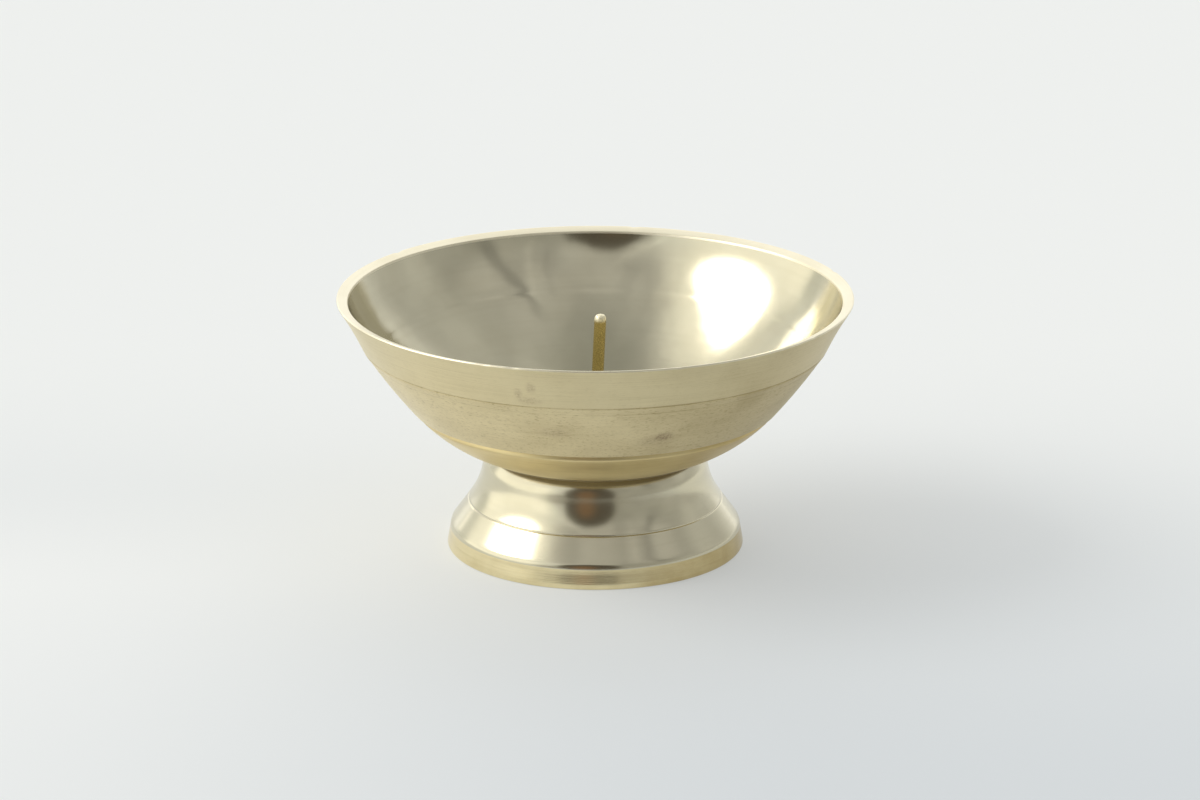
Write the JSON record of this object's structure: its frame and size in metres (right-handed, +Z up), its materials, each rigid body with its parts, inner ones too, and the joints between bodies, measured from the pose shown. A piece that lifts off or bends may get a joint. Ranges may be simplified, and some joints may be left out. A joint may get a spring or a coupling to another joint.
{
  "type": "pricket candle holder",
  "caption": "Small turned-brass candle holder: a shallow bowl on a flared hollow foot, with an upright spike that a candle is pressed onto.",
  "frame": {"origin": "on the table, under the centre of the foot", "axes": "+Z up along the axis that the bowl and foot are turned about, +X the way the spike leans"},
  "size_m": [0.065, 0.065, 0.0327],
  "materials": {
    "bowl_brass": "polished inside, fine-turned satin outside",
    "foot_brass": "polished outside, dull cast inside",
    "pin_brass": "bright drawn rod",
    "fastener_brass": "machined"
  },
  "bodies": {
    "root": {"bowl": "bowl_brass", "foot": "foot_brass", "pricket_pin": "pin_brass", "washer": "fastener_brass", "hex_nut": "fastener_brass"}
  },
  "joints": []
}
